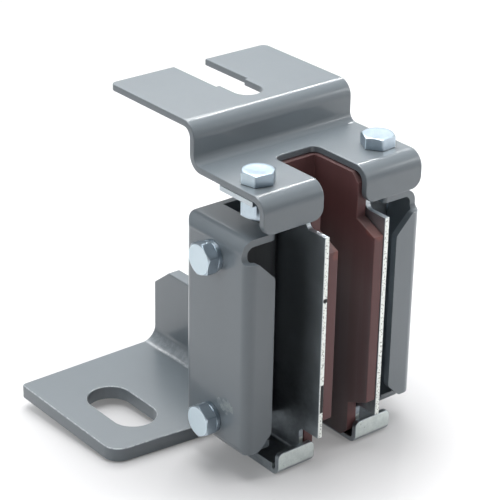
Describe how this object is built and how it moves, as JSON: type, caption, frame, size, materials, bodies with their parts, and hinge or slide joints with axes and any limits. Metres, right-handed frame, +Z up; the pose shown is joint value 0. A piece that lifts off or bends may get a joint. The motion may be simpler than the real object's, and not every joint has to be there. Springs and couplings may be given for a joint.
{
  "type": "elevator guide shoe",
  "caption": "Sliding elevator guide shoe: a polymer-lined rail channel cushioned in a lipped steel body, with a slotted angle base and a stepped top bracket that takes a lubricator.",
  "frame": {"origin": "rail mid-plane, on the floor of the liner slot, at the height of the base's underside", "axes": "+X across the rail away from the base's flange, +Y away from the rail, +Z up along the rail"},
  "size_m": [0.1329, 0.1324, 0.1489],
  "materials": {
    "grey_paint": "gloss grey paint over steel sheet",
    "zinc": "bright zinc plate",
    "weld": "painted weld seam",
    "liner_polymer": "red-brown moulded polymer",
    "rubber": "black moulded rubber",
    "fastener_zinc": "zinc-plated fasteners"
  },
  "bodies": {
    "root": {"top_bracket": "grey_paint", "holder": "zinc", "bottom_plate": "zinc", "liner": "liner_polymer", "body": "grey_paint", "base_bracket": "grey_paint", "weld_beads": "weld", "cushion_left": "rubber", "cushion_right": "rubber", "back_pad": "rubber", "cushion_inserts": "fastener_zinc", "side_bolts": "fastener_zinc", "side_spring_washers": "fastener_zinc", "top_bolts": "fastener_zinc", "top_spring_washers": "fastener_zinc", "top_nuts": "fastener_zinc"}
  },
  "joints": []
}
